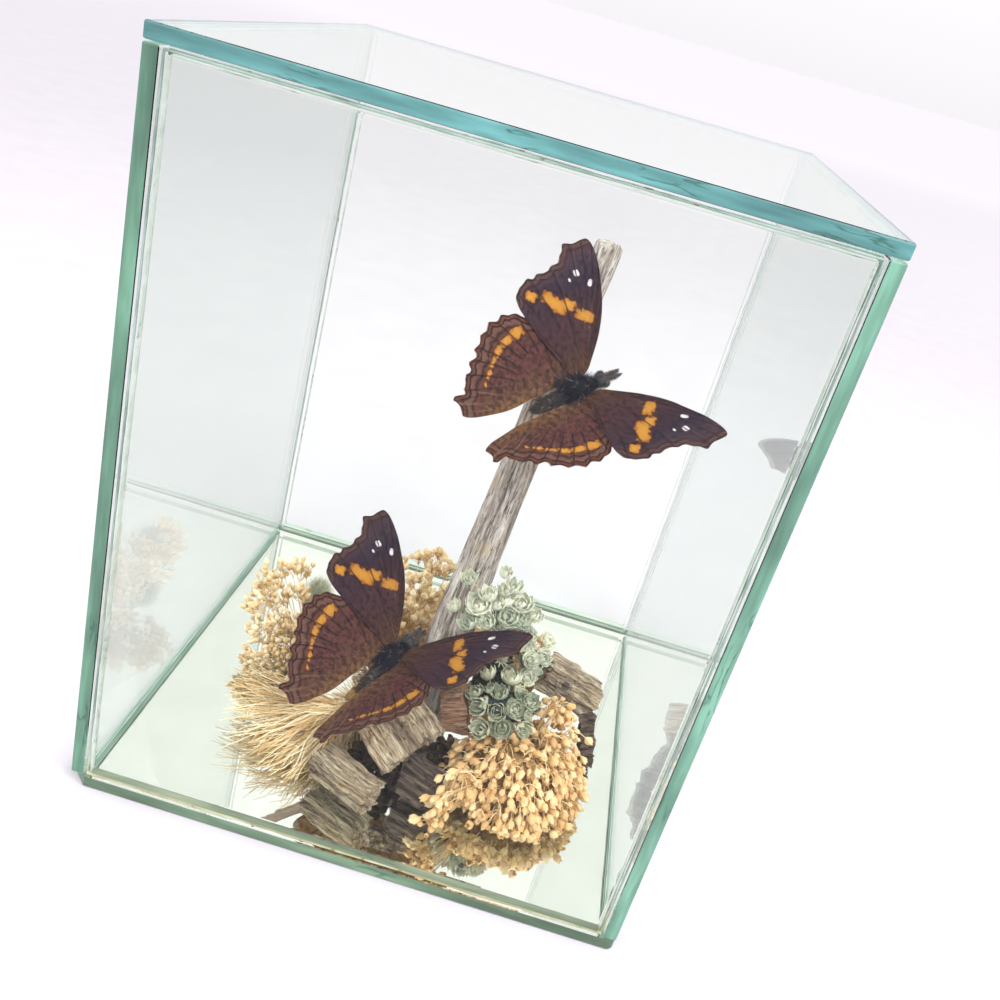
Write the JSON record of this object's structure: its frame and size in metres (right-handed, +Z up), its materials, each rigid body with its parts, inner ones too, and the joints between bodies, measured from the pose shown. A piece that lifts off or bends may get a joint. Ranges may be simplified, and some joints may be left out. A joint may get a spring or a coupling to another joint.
{
  "type": "butterflies in a glass case",
  "caption": "Upright rectangular glass case on a mirror base, holding mounted brown and orange butterflies over weathered driftwood, split wood and dried flower heads.",
  "frame": {"origin": "middle of the case's underside, on the surface it stands on", "axes": "+Z up along the case's height, +X to the right and +Y to the back as seen from the front"},
  "size_m": [0.13, 0.136, 0.165],
  "materials": {
    "mirror": "silvered glass, clear",
    "glass": "clear float glass, green at its ground edges",
    "sealant": "cured cream silicone bead",
    "driftwood": "weathered, matt, ribbed",
    "split_wood": "split, fibrous, matt",
    "wing": "thin dry scaled wing, dark brown with orange bands",
    "butterfly_body": "dry, hairy, blue-black",
    "sage_flower": "dry papery petals, grey-green",
    "straw_flower": "dry papery heads and stems, straw coloured"
  },
  "bodies": {
    "root": {"mirror_base": "mirror", "top_pane": "glass", "left_pane": "glass", "right_pane": "glass", "front_pane": "glass", "back_pane": "glass", "front_sealant": "sealant", "back_sealant": "sealant", "driftwood_stick": "driftwood", "split_block_front": "split_wood", "split_chunk": "split_wood", "smooth_wedge": "split_wood", "dark_bark": "split_wood", "knotted_chunk": "split_wood", "bark_chip": "split_wood", "upper_butterfly_body": "butterfly_body", "upper_left_forewing": "wing", "upper_right_forewing": "wing", "upper_left_hindwing": "wing", "upper_right_hindwing": "wing", "lower_butterfly_body": "butterfly_body", "lower_left_forewing": "wing", "lower_right_forewing": "wing", "lower_left_hindwing": "wing", "lower_right_hindwing": "wing", "bud_bunch": "straw_flower", "sage_flowers_low": "sage_flower", "sage_flowers_tall": "sage_flower", "seed_heads_back": "straw_flower", "seed_heads_right": "straw_flower", "seed_heads_left": "straw_flower", "grey_tuft": "sage_flower", "cut_stem_brush": "straw_flower"}
  },
  "joints": []
}
